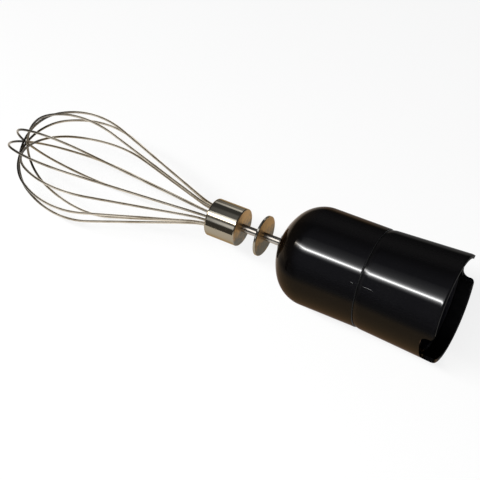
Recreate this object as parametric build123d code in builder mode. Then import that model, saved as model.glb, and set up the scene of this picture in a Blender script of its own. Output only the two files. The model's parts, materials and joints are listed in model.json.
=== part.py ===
from build123d import *
import os
from math import acos, asin, atan2, cos, degrees, hypot, radians, sin, tan

# Whisk attachment of a hand blender: a balloon whisk on a steel shaft, which pulls out of a
# planetary reduction gearbox with a socket that plugs onto the motor handle.
#
# The axis of the part lies along X. The origin is the centre of the socket bore's mouth, +X points
# out of the socket, the whisk points to -X, and +Z is up as the part lies on a table.
# Sizes are in millimetres. Angles are in degrees about X, from +Y towards +Z.

# Fits and clearances
running_fit = 0.05
seat_fit = 0.02
axial_play = 0.2

# Front shell of the housing: a cylinder with a domed nose
shell_wall = 2.5
shell_straight = 34.5
dome_length = 23.1
shoulder_radius = 20.0
seam_edge_radius = 0.6
seam_gap = 0.3

# Rear sleeve of the housing: a flared shell with the handle's socket in it
sleeve_length = 47.5
rim_flare = 2.4
lip_depth = 9.0
lip_wall = 2.5
seam_roll_radius = 12.0
seam_roll_length = 3.7
rim_roll_radius = 5.0
rim_roll_length = 2.1
rim_edge_radius = 0.6
socket_radius = 26.4
socket_wall = 2.6
socket_depth = 29.0
socket_lead_in = 0.8
spigot_length = 8.5
spigot_wall = 2.2
spigot_clearance = 0.1
notch_angle = 16.5
notch_width = 25.0
notch_depth = 7.3
notch_floor_radius = 4.0
notch_corner_radius = 2.5
keyway_width = 6.0
keyway_depth = 1.2
keyway_length = 20.0
joint_seal_width = 1.8
joint_seal_depth = 1.2
joint_seal_offset = 4.0

# Gear train: a sun on the input shaft drives planets inside a fixed ring
ring_wall = 5.125
pressure_angle = 25.0
sun_teeth = 12
planet_teeth = 12
planet_count = 3
first_planet_angle = 90.0
dedendum = 1.25
ring_addendum = 0.8
backlash = 0.06
gear_width = 8.0
gear_side_gap = 0.4
ring_overhang = 1.0
ring_clearance = 0.2
planet_pin_radius = 1.8
carrier_rim = 3.8
carrier_plate_thickness = 3.0
rear_plate_thickness = 2.0
rear_plate_bore = 8.5
rear_plate_gap = 0.8
key_width = 4.0
key_depth = 1.7

# Bearings, seals and washers
seal_radius = 6.0
seal_length = 5.0
seal_stand_out = 0.4
seal_lip_length = 1.2
seal_wall = 2.4
bushing_length = 13.0
bushing_wall = 2.0
bushing_flange_thickness = 1.2
nose_boss_wall = 2.5
washer_thickness = 0.8
washer_width = 2.9

# Cover of the gearbox and its screws
cover_thickness = 2.5
cover_skirt_width = 4.3
cover_boss_length = 8.0
cover_boss_wall = 2.5
cover_rib_count = 6
cover_rib_angle = 0.0
cover_rib_width = 1.5
cover_rib_height = 2.0
screw_radius = 1.25
screw_head_radius = 2.3
screw_head_height = 1.6
screw_head_round = 0.5
screw_hole_clearance = 0.2
screw_inset = 2.5
screw_boss_radius = 3.2
screw_boss_length = 7.0
screw_end_gap = 1.0
screw_recess_width = 0.7
screw_recess_length = 3.0
screw_recess_depth = 0.9

# Input shaft and the coupling that the motor turns
input_radius = 3.5
input_length = 22.3
input_flat = 2.7
sun_hub_step = 0.325
input_bushing_wall = 1.9
clip_thickness = 0.8
clip_width = 1.7
clip_groove_depth = 0.5
clip_opening = 60.0
coupling_radius = 8.0
coupling_length = 20.0
coupling_edge = 1.0
drive_socket_flats = 7.0
drive_socket_depth = 8.6
pilot_radius = 4.6
pilot_depth = 3.0

# Output hub, which takes the whisk's shaft
hub_radius = 5.0
hub_end_gap = 0.4
shaft_radius = 2.3
shaft_hex_flats = 3.9
shaft_hex_length = 4.4
shaft_socket_web = 1.3
shaft_end_gap = 0.4
shaft_chamfer = 0.4
snap_ring_thickness = 1.0
snap_ring_width = 0.8
snap_ring_opening = 40.0
snap_ring_inset = 6.3
shaft_groove_depth = 0.3

# Whisk: shaft, splash disc, ferrule and wire loops
shaft_exposed = 26.2
disc_gap = 11.6
disc_radius = 12.15
disc_thickness = 1.5
disc_edge = 0.35
ferrule_radius = 11.4
ferrule_length = 20.0
ferrule_wall = 0.9
ferrule_end_wall = 1.2
ferrule_end_radius = 0.8
ferrule_mouth_radius = 1.2
ferrule_lip_width = 1.8
ferrule_lip_length = 2.2
plug_clearance = 0.05
shaft_in_plug = 9.2
wire_radius = 0.75
wire_circle = 6.0
wire_in_plug = 12.0
wire_bend_radius = 44.0
belly_reach = 32.8
belly_radius = 60.8
belly_offset = 15.2
shortest_loop = 136.4
loop_step = 1.95
loop_angles = (18.0, 43.0, 80.0, 121.0, 147.0, 169.0)
loop_order = (2, 3, 1, 4, 5, 0)
lean_step = 0.1
loop_leans = (4, -7, 7, -3, 0, -5)
loop_tilts = (0.0, 0.0, 0.2, -1.0, 0.0, -0.4)

# Outside radii of the shells, from the socket outwards
shell_radius = socket_radius + socket_wall
rim_radius = shell_radius + rim_flare

# Places along X, from the rim to the nose
rim_x = lip_depth
seam_x = rim_x - sleeve_length
dome_x = seam_x - shell_straight
nose_x = dome_x - dome_length
shell_bore = shell_radius - shell_wall
spigot_radius = shell_bore - spigot_clearance
spigot_bore = spigot_radius - spigot_wall
spigot_x = seam_x - spigot_length

# Places along X, from the nose through the gear train
seal_end_x = nose_x + seal_length
bushing_end_x = seal_end_x + bushing_length
flange_end_x = bushing_end_x + bushing_flange_thickness
carrier_x = flange_end_x + washer_thickness + axial_play
planet_x = carrier_x + carrier_plate_thickness + gear_side_gap
gear_end_x = planet_x + gear_width
rear_plate_x = gear_end_x + gear_side_gap
rear_plate_end_x = rear_plate_x + rear_plate_thickness
ring_x = planet_x - ring_overhang
ring_end_x = gear_end_x + ring_overhang
cover_x = rear_plate_end_x + rear_plate_gap
cover_end_x = cover_x + cover_thickness
cover_boss_end_x = cover_end_x + cover_boss_length
rear_washer_x = cover_x - washer_thickness
clip_x = cover_boss_end_x + axial_play
coupling_x = clip_x + clip_thickness + axial_play
coupling_end_x = coupling_x + coupling_length
input_end_x = rear_washer_x + input_length

# Places along X, from the nose along the whisk
disc_x = nose_x - disc_gap
ferrule_end_x = nose_x - shaft_exposed
ferrule_mouth_x = ferrule_end_x - ferrule_length
plug_end_x = ferrule_end_x - ferrule_end_wall
plug_face_x = ferrule_mouth_x + ferrule_lip_length + plug_clearance
shaft_start_x = plug_end_x - shaft_in_plug
shaft_end_x = carrier_x - shaft_socket_web - shaft_end_gap
hex_x = shaft_end_x - shaft_hex_length
wire_bend_x = plug_face_x - running_fit
wire_start_x = plug_face_x + wire_in_plug

# Gear sizes, which follow from the room inside the shell
ring_radius = shell_bore - ring_clearance
ring_teeth = sun_teeth + 2 * planet_teeth
module = (ring_radius - ring_wall) / (ring_teeth / 2 + dedendum)
planet_circle = module * (sun_teeth + planet_teeth) / 2
sun_tip = module * (sun_teeth / 2 + 1)
sun_root = module * (sun_teeth / 2 - dedendum)
sun_hub_radius = sun_root - sun_hub_step
planet_tip = module * (planet_teeth / 2 + 1)
planet_root = module * (planet_teeth / 2 - dedendum)
ring_tip = module * (ring_teeth / 2 - ring_addendum)
ring_root = module * (ring_teeth / 2 + dedendum)
screw_circle = ring_radius - screw_inset
carrier_radius = planet_circle + carrier_rim
bushing_radius = hub_radius + running_fit + bushing_wall
input_bushing_radius = input_radius + running_fit + input_bushing_wall

os.makedirs("parts", exist_ok=True)


def ring_piece(start_x, end_x, outer_radius, inner_radius):
    """Plain ring about the X axis."""
    with BuildPart() as ring:
        with BuildSketch(Plane.YZ.offset(start_x)):
            Circle(outer_radius)
            Circle(inner_radius, mode=Mode.SUBTRACT)
        extrude(amount=end_x - start_x)
    return ring.part


def split_ring(start_x, thickness, outer_radius, inner_radius, opening):
    """Spring ring about the X axis, open over an angle at its top."""
    with BuildPart() as ring:
        with BuildSketch(Plane.YZ.offset(start_x)):
            Circle(outer_radius)
            Circle(inner_radius, mode=Mode.SUBTRACT)
            half_gap = outer_radius * tan(radians(opening / 2))
            Polygon(
                (0, 0),
                (half_gap, outer_radius),
                (-half_gap, outer_radius),
                align=None,
                mode=Mode.SUBTRACT,
            )
        extrude(amount=thickness)
    return ring.part


def involute(angle):
    """Involute function, in radians."""
    return tan(angle) - angle


def toothed_face(plane, teeth, root_radius, tip_radius, thinning, first_angle):
    """Face of a spur gear with involute flanks, thinned at the pitch circle for backlash."""
    pitch_radius = module * teeth / 2
    base_radius = pitch_radius * cos(radians(pressure_angle))
    flank_radius = max(root_radius, base_radius)
    middle_radius = (flank_radius + tip_radius) / 2

    def half_angle(radius):
        opening = involute(radians(pressure_angle)) - involute(acos(base_radius / radius))
        return 90 / teeth + degrees(opening - thinning / (2 * pitch_radius))

    def point(radius, angle):
        return (radius * cos(radians(angle)), radius * sin(radians(angle)))

    with BuildSketch(plane) as gear:
        with BuildLine():
            for tooth in range(teeth):
                middle = first_angle + 360 * tooth / teeth
                gap_middle = middle + 180 / teeth
                foot = half_angle(flank_radius)
                for side in (-1, 1):
                    foot_angle = middle + side * foot
                    tip_angle = middle + side * half_angle(tip_radius)
                    middle_angle = middle + side * half_angle(middle_radius)
                    if flank_radius > root_radius:
                        Line(point(root_radius, foot_angle), point(flank_radius, foot_angle))
                    ThreePointArc(
                        point(flank_radius, foot_angle),
                        point(middle_radius, middle_angle),
                        point(tip_radius, tip_angle),
                    )
                tip_half = half_angle(tip_radius)
                ThreePointArc(
                    point(tip_radius, middle - tip_half),
                    point(tip_radius, middle),
                    point(tip_radius, middle + tip_half),
                )
                ThreePointArc(
                    point(root_radius, middle + foot),
                    point(root_radius, gap_middle),
                    point(root_radius, middle + 360 / teeth - foot),
                )
        make_face()
    return gear.sketch


# Front shell of the housing
nose_radius = (dome_length**2 + (shell_radius - shoulder_radius) ** 2 - shoulder_radius**2) / (
    2 * (dome_length - shoulder_radius)
)
nose_center_x = nose_x + nose_radius
shoulder_circle = shell_radius - shoulder_radius
nose_arc = degrees(atan2(shoulder_circle, nose_center_x - dome_x))
dome_end_x = seam_x - seam_gap / 2
nose_boss_radius = bushing_radius + seat_fit + nose_boss_wall
key_inner_radius = shell_bore - key_depth
key_angle = first_planet_angle + 180 / planet_count

with BuildPart() as gearbox_dome:
    with BuildSketch():
        with BuildLine():
            for inset in (0, shell_wall):
                CenterArc((nose_center_x, 0), nose_radius - inset, 180, -nose_arc)
                CenterArc((dome_x, shoulder_circle), shoulder_radius - inset, 180 - nose_arc, nose_arc - 90)
                Line((dome_x, shell_radius - inset), (dome_end_x, shell_radius - inset))
            Line((dome_end_x, shell_radius), (dome_end_x, shell_bore))
            Line((nose_x, 0), (nose_x + shell_wall, 0))
        make_face()
    revolve(axis=Axis.X)
    seam_edges = gearbox_dome.edges().filter_by(GeomType.CIRCLE).group_by(Axis.X)[-1]
    fillet(seam_edges.sort_by(SortBy.RADIUS)[-1], seam_edge_radius)
    # Boss that holds the output bushing and the seal
    with BuildSketch(Plane.YZ.offset(nose_x + shell_wall - seal_stand_out)):
        Circle(nose_boss_radius)
    extrude(amount=bushing_end_x - nose_x - shell_wall + seal_stand_out)
    # Bosses for the cover screws, which also carry the ring gear
    with BuildSketch(Plane.YZ.offset(ring_x - screw_boss_length)):
        with PolarLocations(screw_circle, planet_count, start_angle=first_planet_angle):
            Circle(screw_boss_radius)
    extrude(amount=screw_boss_length)
    # Keys that keep the ring gear from turning
    with BuildSketch(Plane.YZ.offset(ring_x)):
        with PolarLocations(key_inner_radius, planet_count, start_angle=key_angle):
            Rectangle(key_depth + shell_wall / 2, key_width, align=(Align.MIN, Align.CENTER))
    extrude(amount=ring_end_x - ring_x)
    # Bores for the seal, the bushing and the screws
    with BuildSketch(Plane.YZ.offset(nose_x)):
        Circle(seal_radius)
    extrude(amount=seal_length, mode=Mode.SUBTRACT)
    with BuildSketch(Plane.YZ.offset(seal_end_x)):
        Circle(bushing_radius + seat_fit)
    extrude(amount=bushing_length, mode=Mode.SUBTRACT)
    with BuildSketch(Plane.YZ.offset(ring_x)):
        with PolarLocations(screw_circle, planet_count, start_angle=first_planet_angle):
            Circle(screw_radius + seat_fit)
    extrude(amount=-(screw_boss_length - screw_end_gap / 2), mode=Mode.SUBTRACT)
gearbox_dome.part.label = "gearbox_dome"
export_step(gearbox_dome.part, "parts/gearbox_dome.step")

# Rear sleeve of the housing
flare = atan2(rim_radius - shell_radius, sleeve_length)
sleeve_front_x = seam_x + seam_gap / 2


def sleeve_radius(x):
    """Outside radius of the flared sleeve."""
    return shell_radius + (x - seam_x) * tan(flare)


seam_roll = degrees(asin(sin(flare) + seam_roll_length / seam_roll_radius) - flare)
rim_roll = degrees(flare - asin(sin(flare) - rim_roll_length / rim_roll_radius))
roll_start_x = sleeve_front_x + seam_roll_length
roll_end_x = rim_x - rim_roll_length
lip_bore = rim_radius - lip_wall
groove_x = spigot_x + joint_seal_offset
notch_half = notch_width / 2
notch_floor_x = rim_x - notch_depth
floor_round_x = notch_floor_x + notch_floor_radius
floor_end = notch_half - notch_floor_radius
corner_round_x = rim_x - notch_corner_radius
corner_end = notch_half + notch_corner_radius
notch_plane = Plane(
    origin=(0, 0, 0),
    x_dir=(1, 0, 0),
    z_dir=(0, cos(radians(notch_angle)), sin(radians(notch_angle))),
)

with BuildPart() as coupling_sleeve:
    with BuildSketch():
        with BuildLine():
            roll_start = (roll_start_x, sleeve_radius(roll_start_x))
            roll_end = (roll_end_x, sleeve_radius(roll_end_x))
            Line(roll_start, roll_end)
            front_roll = JernArc(roll_start, (-cos(flare), -sin(flare)), seam_roll_radius, seam_roll)
            rear_roll = JernArc(roll_end, (cos(flare), sin(flare)), rim_roll_radius, -rim_roll)
            Polyline(
                rear_roll @ 1,
                (rim_x, lip_bore),
                (socket_lead_in, lip_bore),
                (socket_lead_in, socket_radius + socket_lead_in),
                (0, socket_radius),
                (-socket_depth, socket_radius),
                (-socket_depth, spigot_bore),
                (spigot_x, spigot_bore),
                (spigot_x, spigot_radius),
                (sleeve_front_x, spigot_radius),
                front_roll @ 1,
            )
        make_face()
    revolve(axis=Axis.X)
    rim_edges = coupling_sleeve.edges().filter_by(GeomType.CIRCLE).group_by(Axis.X)[-1]
    fillet(rim_edges, rim_edge_radius)
    # Two opposite notches for the handle's release buttons
    with BuildSketch(notch_plane):
        with BuildLine():
            for side in (-1, 1):
                CenterArc((floor_round_x, side * floor_end), notch_floor_radius, 180, -90 * side)
                Line((floor_round_x, side * notch_half), (corner_round_x, side * notch_half))
                CenterArc((corner_round_x, side * corner_end), notch_corner_radius, -90 * side, 90 * side)
                Line((rim_x, side * corner_end), (rim_x + lip_wall, side * corner_end))
            Line((notch_floor_x, -floor_end), (notch_floor_x, floor_end))
            Line((rim_x + lip_wall, -corner_end), (rim_x + lip_wall, corner_end))
        make_face()
    extrude(amount=rim_radius + lip_wall, both=True, mode=Mode.SUBTRACT)
    # Keyways that stop the sleeve from turning on the handle
    with BuildSketch(Plane.YZ.offset(-keyway_length)):
        with PolarLocations(socket_radius, 2, start_angle=notch_angle):
            Rectangle(2 * keyway_depth, keyway_width)
    extrude(amount=keyway_length + socket_lead_in, mode=Mode.SUBTRACT)
    # Groove for the joint seal
    with BuildSketch(Plane.YZ.offset(groove_x)):
        Circle(spigot_radius + spigot_clearance)
        Circle(spigot_radius - joint_seal_depth, mode=Mode.SUBTRACT)
    extrude(amount=joint_seal_width, mode=Mode.SUBTRACT)
coupling_sleeve.part.label = "coupling_sleeve"
export_step(coupling_sleeve.part, "parts/coupling_sleeve.step")

# Seal in the joint between the two shells
joint_seal = ring_piece(
    groove_x + seat_fit,
    groove_x + joint_seal_width - seat_fit,
    shell_bore - seat_fit,
    spigot_radius - joint_seal_depth + seat_fit,
)
joint_seal.label = "joint_seal"
export_step(joint_seal, "parts/joint_seal.step")

# Lip seal round the whisk's shaft in the nose
seal_x = nose_x - seal_stand_out
seal_bore = shaft_radius + running_fit
with BuildPart() as shaft_seal:
    with BuildSketch():
        with BuildLine():
            Polyline(
                (seal_x, seal_bore),
                (seal_x + seal_lip_length, seal_bore),
                (seal_x + 2 * seal_lip_length, seal_radius - seal_wall),
                (seal_end_x, seal_radius - seal_wall),
                (seal_end_x, seal_radius - seat_fit),
                (seal_x, seal_radius - seat_fit),
                close=True,
            )
        make_face()
    revolve(axis=Axis.X)
shaft_seal.part.label = "shaft_seal"
export_step(shaft_seal.part, "parts/shaft_seal.step")

# Flanged bushing in which the output hub turns
with BuildPart() as output_bushing:
    with BuildSketch(Plane.YZ.offset(seal_end_x)):
        Circle(bushing_radius)
    extrude(amount=bushing_length)
    with BuildSketch(Plane.YZ.offset(bushing_end_x)):
        Circle(nose_boss_radius)
    extrude(amount=bushing_flange_thickness)
    with BuildSketch(Plane.YZ.offset(seal_end_x)):
        Circle(hub_radius + running_fit)
    extrude(amount=flange_end_x - seal_end_x, mode=Mode.SUBTRACT)
output_bushing.part.label = "output_bushing"
export_step(output_bushing.part, "parts/output_bushing.step")

# Thrust washers in front of the carrier and behind the sun gear
hub_washer_bore = hub_radius + running_fit
front_thrust_washer = ring_piece(
    flange_end_x,
    flange_end_x + washer_thickness,
    hub_washer_bore + washer_width,
    hub_washer_bore,
)
front_thrust_washer.label = "front_thrust_washer"
export_step(front_thrust_washer, "parts/front_thrust_washer.step")

input_bore = input_radius + running_fit
rear_thrust_washer = ring_piece(rear_washer_x, cover_x, input_bore + washer_width, input_bore)
rear_thrust_washer.label = "rear_thrust_washer"
export_step(rear_thrust_washer, "parts/rear_thrust_washer.step")

# Ring gear, keyed to the front shell and clamped under the cover
ring_spaces = toothed_face(
    Plane.YZ.offset(ring_x),
    ring_teeth,
    ring_tip,
    ring_root,
    -backlash / 2,
    first_planet_angle + (1 - planet_teeth % 2) * 180 / ring_teeth,
)
with BuildPart() as ring_gear:
    with BuildSketch(Plane.YZ.offset(ring_x)):
        Circle(ring_radius)
        with PolarLocations(screw_circle, planet_count, start_angle=first_planet_angle):
            Circle(screw_radius + screw_hole_clearance, mode=Mode.SUBTRACT)
        with PolarLocations(key_inner_radius - ring_clearance, planet_count, start_angle=key_angle):
            Rectangle(
                key_depth + shell_wall,
                key_width + 2 * ring_clearance,
                align=(Align.MIN, Align.CENTER),
                mode=Mode.SUBTRACT,
            )
    extrude(amount=ring_end_x - ring_x)
    extrude(ring_spaces, amount=ring_end_x - ring_x, mode=Mode.SUBTRACT)
ring_gear.part.label = "ring_gear"
export_step(ring_gear.part, "parts/ring_gear.step")

# Planet gears, in mesh with the sun and the ring as they stand
for number in range(planet_count):
    place = 360 * number / planet_count
    angle = first_planet_angle + place
    planet_plane = Plane(
        origin=(planet_x, planet_circle * cos(radians(angle)), planet_circle * sin(radians(angle))),
        x_dir=(0, 1, 0),
        z_dir=(1, 0, 0),
    )
    planet_face = toothed_face(
        planet_plane,
        planet_teeth,
        planet_root,
        planet_tip,
        backlash / 2,
        angle + 180 + 180 / planet_teeth + place * sun_teeth / planet_teeth,
    )
    with BuildPart() as planet_gear:
        extrude(planet_face, amount=gear_width)
        with BuildSketch(planet_plane):
            Circle(planet_pin_radius + running_fit)
        extrude(amount=gear_width, mode=Mode.SUBTRACT)
    planet_gear.part.label = f"planet_gear_{number + 1}"
    export_step(planet_gear.part, f"parts/planet_gear_{number + 1}.step")

# Pins on which the planets turn, held at both ends by the carrier's plates
with BuildPart() as planet_pins:
    with BuildSketch(Plane.YZ.offset(carrier_x)):
        with PolarLocations(planet_circle, planet_count, start_angle=first_planet_angle):
            Circle(planet_pin_radius)
    extrude(amount=rear_plate_end_x - carrier_x)
planet_pins.part.label = "planet_pins"
export_step(planet_pins.part, "parts/planet_pins.step")

# Rear plate of the carrier, open in the middle for the sun gear's hub
with BuildPart() as carrier_rear_plate:
    with BuildSketch(Plane.YZ.offset(rear_plate_x)):
        Circle(carrier_radius)
        Circle(rear_plate_bore, mode=Mode.SUBTRACT)
        with PolarLocations(planet_circle, planet_count, start_angle=first_planet_angle):
            Circle(planet_pin_radius + seat_fit, mode=Mode.SUBTRACT)
    extrude(amount=rear_plate_thickness)
carrier_rear_plate.part.label = "carrier_rear_plate"
export_step(carrier_rear_plate.part, "parts/carrier_rear_plate.step")

# Planet carrier with the output hub, whose hexagonal socket drives the whisk's shaft
hub_x = seal_end_x + hub_end_gap
snap_x = hub_x + snap_ring_inset
shaft_bore = shaft_radius + running_fit
hex_socket_x = hex_x + shaft_end_gap
hex_socket_end_x = carrier_x - shaft_socket_web
snap_groove_radius = shaft_bore + snap_ring_width + seat_fit

with BuildPart() as planet_carrier:
    with BuildSketch(Plane.YZ.offset(carrier_x)):
        Circle(carrier_radius)
        with PolarLocations(planet_circle, planet_count, start_angle=first_planet_angle):
            Circle(planet_pin_radius + seat_fit, mode=Mode.SUBTRACT)
    extrude(amount=carrier_plate_thickness)
    with BuildSketch(Plane.YZ.offset(hub_x)):
        Circle(hub_radius)
    extrude(amount=carrier_x - hub_x)
    with BuildSketch(Plane.YZ.offset(hub_x)):
        Circle(shaft_bore)
    extrude(amount=hex_socket_x - hub_x, mode=Mode.SUBTRACT)
    with BuildSketch(Plane.YZ.offset(hex_socket_x)):
        RegularPolygon(shaft_hex_flats / 2 + running_fit, 6, major_radius=False)
    extrude(amount=hex_socket_end_x - hex_socket_x, mode=Mode.SUBTRACT)
    with BuildSketch(Plane.YZ.offset(snap_x)):
        Circle(snap_groove_radius)
    extrude(amount=snap_ring_thickness + 2 * seat_fit, mode=Mode.SUBTRACT)
planet_carrier.part.label = "planet_carrier"
export_step(planet_carrier.part, "parts/planet_carrier.step")

# Snap ring in the hub, which clicks into the groove of the whisk's shaft
snap_ring = split_ring(
    snap_x + seat_fit,
    snap_ring_thickness,
    shaft_bore + snap_ring_width,
    shaft_bore,
    snap_ring_opening,
)
snap_ring.label = "snap_ring"
export_step(snap_ring, "parts/snap_ring.step")

# Sun gear in one piece with the input shaft
sun_hub_end_x = rear_washer_x - axial_play
sun_face = toothed_face(
    Plane.YZ.offset(planet_x), sun_teeth, sun_root, sun_tip, backlash / 2, first_planet_angle
)
with BuildPart() as sun_gear:
    extrude(sun_face, amount=gear_width)
    with BuildSketch(Plane.YZ.offset(gear_end_x)):
        Circle(sun_hub_radius)
    extrude(amount=sun_hub_end_x - gear_end_x)
    with BuildSketch(Plane.YZ.offset(sun_hub_end_x)):
        Circle(input_radius)
    extrude(amount=coupling_x - sun_hub_end_x)
    with BuildSketch(Plane.YZ.offset(coupling_x)):
        Circle(input_radius)
        Rectangle(2 * input_radius, 2 * input_flat, mode=Mode.INTERSECT)
    extrude(amount=input_end_x - coupling_x)
    with BuildSketch(Plane.YZ.offset(clip_x)):
        Circle(input_radius + clip_width)
        Circle(input_radius - clip_groove_depth, mode=Mode.SUBTRACT)
    extrude(amount=clip_thickness, mode=Mode.SUBTRACT)
sun_gear.part.label = "sun_gear"
export_step(sun_gear.part, "parts/sun_gear.step")

# Spring clip that keeps the input shaft in the cover
clip_bore = input_radius - clip_groove_depth + seat_fit
shaft_clip = split_ring(
    clip_x + seat_fit, clip_thickness - 2 * seat_fit, clip_bore + clip_width, clip_bore, clip_opening
)
shaft_clip.label = "shaft_clip"
export_step(shaft_clip, "parts/shaft_clip.step")

# Coupling on the input shaft, with a hexagonal socket for the motor's drive end
with BuildPart() as drive_coupling:
    with BuildSketch(Plane.YZ.offset(coupling_x)):
        Circle(coupling_radius)
    extrude(amount=coupling_length)
    chamfer(drive_coupling.edges().filter_by(GeomType.CIRCLE), coupling_edge)
    with BuildSketch(Plane.YZ.offset(coupling_x)):
        Circle(input_radius + seat_fit)
        Rectangle(2 * (input_radius + seat_fit), 2 * (input_flat + seat_fit), mode=Mode.INTERSECT)
    extrude(amount=input_end_x + shaft_end_gap - coupling_x, mode=Mode.SUBTRACT)
    with BuildSketch(Plane.YZ.offset(coupling_end_x)):
        RegularPolygon(drive_socket_flats / 2, 6, major_radius=False)
    extrude(amount=-drive_socket_depth, mode=Mode.SUBTRACT)
    with BuildSketch(Plane.YZ.offset(coupling_end_x)):
        Circle(pilot_radius)
    extrude(amount=-pilot_depth, mode=Mode.SUBTRACT)
drive_coupling.part.label = "drive_coupling"
export_step(drive_coupling.part, "parts/drive_coupling.step")

# Cover of the gearbox, with a boss for the input bushing and stiffening ribs
cover_boss_radius = input_bushing_radius + seat_fit + cover_boss_wall
rib_start = cover_boss_radius - cover_boss_wall / 2
rib_length = screw_circle - screw_head_radius - cover_boss_radius
with BuildPart() as gearbox_cover:
    with BuildSketch(Plane.YZ.offset(cover_x)):
        Circle(ring_radius)
    extrude(amount=cover_thickness)
    with BuildSketch(Plane.YZ.offset(ring_end_x)):
        Circle(ring_radius)
        Circle(ring_radius - cover_skirt_width, mode=Mode.SUBTRACT)
    extrude(amount=cover_x - ring_end_x)
    with BuildSketch(Plane.YZ.offset(cover_end_x)):
        Circle(cover_boss_radius)
    extrude(amount=cover_boss_length)
    with BuildSketch(Plane.YZ.offset(cover_end_x)):
        with PolarLocations(rib_start, cover_rib_count, start_angle=cover_rib_angle):
            Rectangle(rib_length, cover_rib_width, align=(Align.MIN, Align.CENTER))
    extrude(amount=cover_rib_height)
    with BuildSketch(Plane.YZ.offset(cover_x)):
        Circle(input_bushing_radius + seat_fit)
    extrude(amount=cover_boss_end_x - cover_x, mode=Mode.SUBTRACT)
    with BuildSketch(Plane.YZ.offset(ring_end_x)):
        with PolarLocations(screw_circle, planet_count, start_angle=first_planet_angle):
            Circle(screw_radius + screw_hole_clearance)
    extrude(amount=cover_end_x - ring_end_x, mode=Mode.SUBTRACT)
gearbox_cover.part.label = "gearbox_cover"
export_step(gearbox_cover.part, "parts/gearbox_cover.step")

# Bushing in which the input shaft turns
input_bushing = ring_piece(cover_x, cover_boss_end_x, input_bushing_radius, input_bore)
input_bushing.label = "input_bushing"
export_step(input_bushing, "parts/input_bushing.step")

# Screws through the cover and the ring gear into the front shell
screw_end_x = ring_x - screw_boss_length + screw_end_gap
with BuildPart() as cover_screws:
    with BuildSketch(Plane.YZ.offset(cover_end_x)):
        with PolarLocations(screw_circle, planet_count, start_angle=first_planet_angle):
            Circle(screw_head_radius)
    extrude(amount=screw_head_height)
    fillet(cover_screws.edges().group_by(Axis.X)[-1], screw_head_round)
    with BuildSketch(Plane.YZ.offset(screw_end_x)):
        with PolarLocations(screw_circle, planet_count, start_angle=first_planet_angle):
            Circle(screw_radius)
    extrude(amount=cover_end_x - screw_end_x)
    with BuildSketch(Plane.YZ.offset(cover_end_x + screw_head_height)):
        with PolarLocations(screw_circle, planet_count, start_angle=first_planet_angle):
            Rectangle(screw_recess_length, screw_recess_width)
            Rectangle(screw_recess_width, screw_recess_length)
    extrude(amount=-screw_recess_depth, mode=Mode.SUBTRACT)
cover_screws.part.label = "cover_screws"
export_step(cover_screws.part, "parts/cover_screws.step")

# Shaft of the whisk, with a hexagonal drive end and a groove for the snap ring
with BuildPart() as whisk_shaft:
    with BuildSketch(Plane.YZ.offset(shaft_start_x)):
        Circle(shaft_radius)
    extrude(amount=hex_x - shaft_start_x)
    with BuildSketch(Plane.YZ.offset(hex_x)):
        RegularPolygon(shaft_hex_flats / 2, 6, major_radius=False)
    extrude(amount=shaft_hex_length)
    chamfer(whisk_shaft.edges().group_by(Axis.X)[-1], shaft_chamfer)
    with BuildSketch(Plane.YZ.offset(snap_x)):
        Circle(shaft_bore)
        Circle(shaft_radius - shaft_groove_depth, mode=Mode.SUBTRACT)
    extrude(amount=snap_ring_thickness + 2 * seat_fit, mode=Mode.SUBTRACT)
whisk_shaft.part.label = "whisk_shaft"
export_step(whisk_shaft.part, "parts/whisk_shaft.step")

# Disc on the shaft that keeps splashes off the gearbox
with BuildPart() as splash_disc:
    with BuildSketch(Plane.YZ.offset(disc_x)):
        Circle(disc_radius)
        Circle(shaft_radius + seat_fit, mode=Mode.SUBTRACT)
    extrude(amount=-disc_thickness)
    fillet(splash_disc.edges().filter_by(GeomType.CIRCLE).sort_by(SortBy.RADIUS)[-2:], disc_edge)
splash_disc.part.label = "splash_disc"
export_step(splash_disc.part, "parts/splash_disc.step")

# Ferrule: a drawn cup with a rolled mouth, closed towards the shaft
ferrule_bore = ferrule_radius - ferrule_wall
ferrule_lip = ferrule_radius - ferrule_lip_width
with BuildPart() as whisk_ferrule:
    with BuildSketch():
        with BuildLine():
            Polyline(
                (ferrule_mouth_x, ferrule_lip),
                (ferrule_mouth_x, ferrule_radius),
                (ferrule_end_x, ferrule_radius),
                (ferrule_end_x, shaft_radius + seat_fit),
                (plug_end_x, shaft_radius + seat_fit),
                (plug_end_x, ferrule_bore),
                (ferrule_mouth_x + ferrule_lip_length, ferrule_bore),
                (ferrule_mouth_x + ferrule_lip_length, ferrule_lip),
                close=True,
            )
        make_face()
    revolve(axis=Axis.X)
    mouth_edges = whisk_ferrule.edges().filter_by(GeomType.CIRCLE).group_by(Axis.X)[0]
    fillet(mouth_edges.sort_by(SortBy.RADIUS)[-1], ferrule_mouth_radius)
    end_edges = whisk_ferrule.edges().filter_by(GeomType.CIRCLE).group_by(Axis.X)[-1]
    fillet(end_edges.sort_by(SortBy.RADIUS)[-1], ferrule_end_radius)
whisk_ferrule.part.label = "whisk_ferrule"
export_step(whisk_ferrule.part, "parts/whisk_ferrule.step")

# Planes of the wire loops, and of their strands where they run through the plug
def loop_plane(angle, tilt):
    """Plane of one loop: X runs along the whisk from the plug's face, Y out along the loop's angle."""
    along = Vector(1, 0, 0)
    across = Vector(0, -sin(radians(angle)), cos(radians(angle)))
    return Plane(
        origin=(wire_bend_x, 0, 0),
        x_dir=along * cos(radians(tilt)) - across * sin(radians(tilt)),
        z_dir=across * cos(radians(tilt)) + along * sin(radians(tilt)),
    )


def strand_plane(plane, side, along):
    """Plane square to one strand of a loop, facing the loop's end."""
    return Plane(origin=plane.from_local_coords((along, side * wire_circle, 0)), z_dir=-plane.x_dir)


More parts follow.
